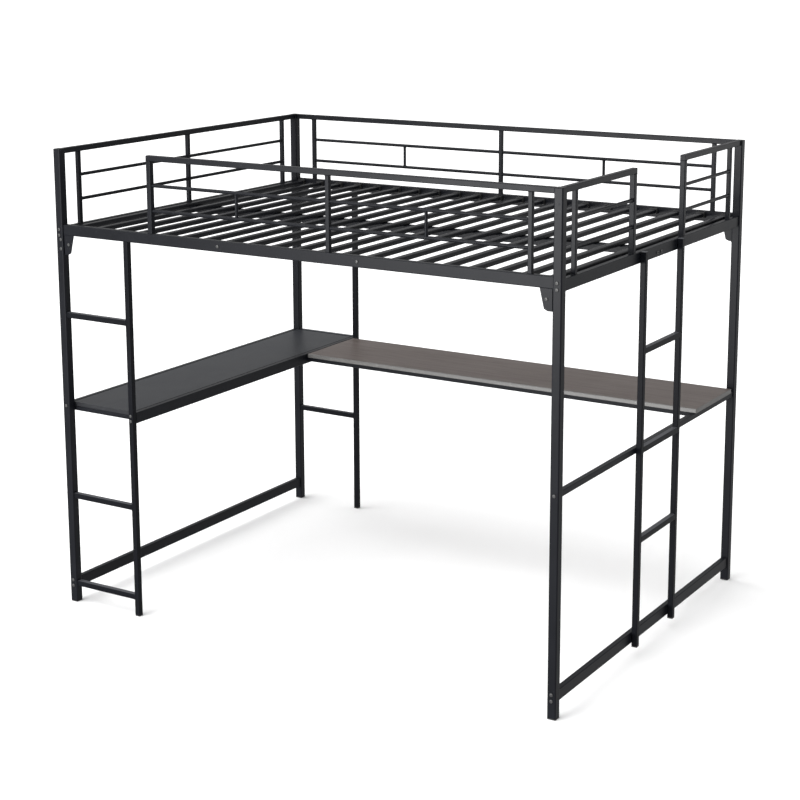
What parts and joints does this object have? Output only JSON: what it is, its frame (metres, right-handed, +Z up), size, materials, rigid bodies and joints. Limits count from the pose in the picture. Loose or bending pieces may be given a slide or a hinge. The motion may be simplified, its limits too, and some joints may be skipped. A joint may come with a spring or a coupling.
{
  "type": "loft bed with desk",
  "caption": "Steel-tube loft bed with slats, guard rails, a front and a side ladder, a desk along the back and a shelf at one end underneath.",
  "frame": {"origin": "on the floor, under the middle of the bounding box", "axes": "+X along the bed towards the end with the side ladder, +Y from the open front to the back where the desk stands, +Z up"},
  "size_m": [1.9852, 1.4646, 1.654],
  "materials": {
    "black_steel": "satin black powder coat",
    "black_plastic": "fine-grained moulded plastic",
    "desk_board": "warm grey-brown laminated board with a faint grain",
    "shelf_board": "charcoal laminated board",
    "bolt_zinc": "dull zinc-plated button heads"
  },
  "bodies": {
    "root": {"back_upright": "black_steel", "bolt_back_left_1": "bolt_zinc", "bolt_back_left_2": "bolt_zinc", "bolt_back_right_1": "bolt_zinc", "bolt_back_right_2": "bolt_zinc", "bolt_front_left_1": "bolt_zinc", "bolt_front_left_2": "bolt_zinc", "bolt_front_right_1": "bolt_zinc", "bolt_front_right_2": "bolt_zinc", "bolt_front_right_3": "bolt_zinc", "center_beam": "black_steel", "crossbar_left_low": "black_steel", "crossbar_right_low": "black_steel", "crossbar_right_mid": "black_steel", "desk_frame": "black_steel", "desk_top": "desk_board", "end_rail_left": "black_steel", "end_rail_right": "black_steel", "foot_back_left": "black_plastic", "foot_back_right": "black_plastic", "foot_front_left": "black_plastic", "foot_front_right": "black_plastic", "guard_back": "black_steel", "guard_front": "black_steel", "guard_left": "black_steel", "guard_right_back": "black_steel", "guard_right_front": "black_steel", "ladder_front": "black_steel", "ladder_side": "black_steel", "post_back_left": "black_steel", "post_back_right": "black_steel", "post_front_left": "black_steel", "post_front_right": "black_steel", "shelf_beam": "black_steel", "shelf_board": "shelf_board", "shelf_frame": "black_steel", "side_rail_back": "black_steel", "side_rail_front": "black_steel", "slat_01": "black_steel", "slat_02": "black_steel", "slat_03": "black_steel", "slat_04": "black_steel", "slat_05": "black_steel", "slat_06": "black_steel", "slat_07": "black_steel", "slat_08": "black_steel", "slat_09": "black_steel", "slat_10": "black_steel", "slat_11": "black_steel", "slat_12": "black_steel", "slat_13": "black_steel", "slat_14": "black_steel", "slat_15": "black_steel", "slat_16": "black_steel", "slat_17": "black_steel", "slat_18": "black_steel", "slat_19": "black_steel", "slat_20": "black_steel", "slat_21": "black_steel"}
  },
  "joints": []
}
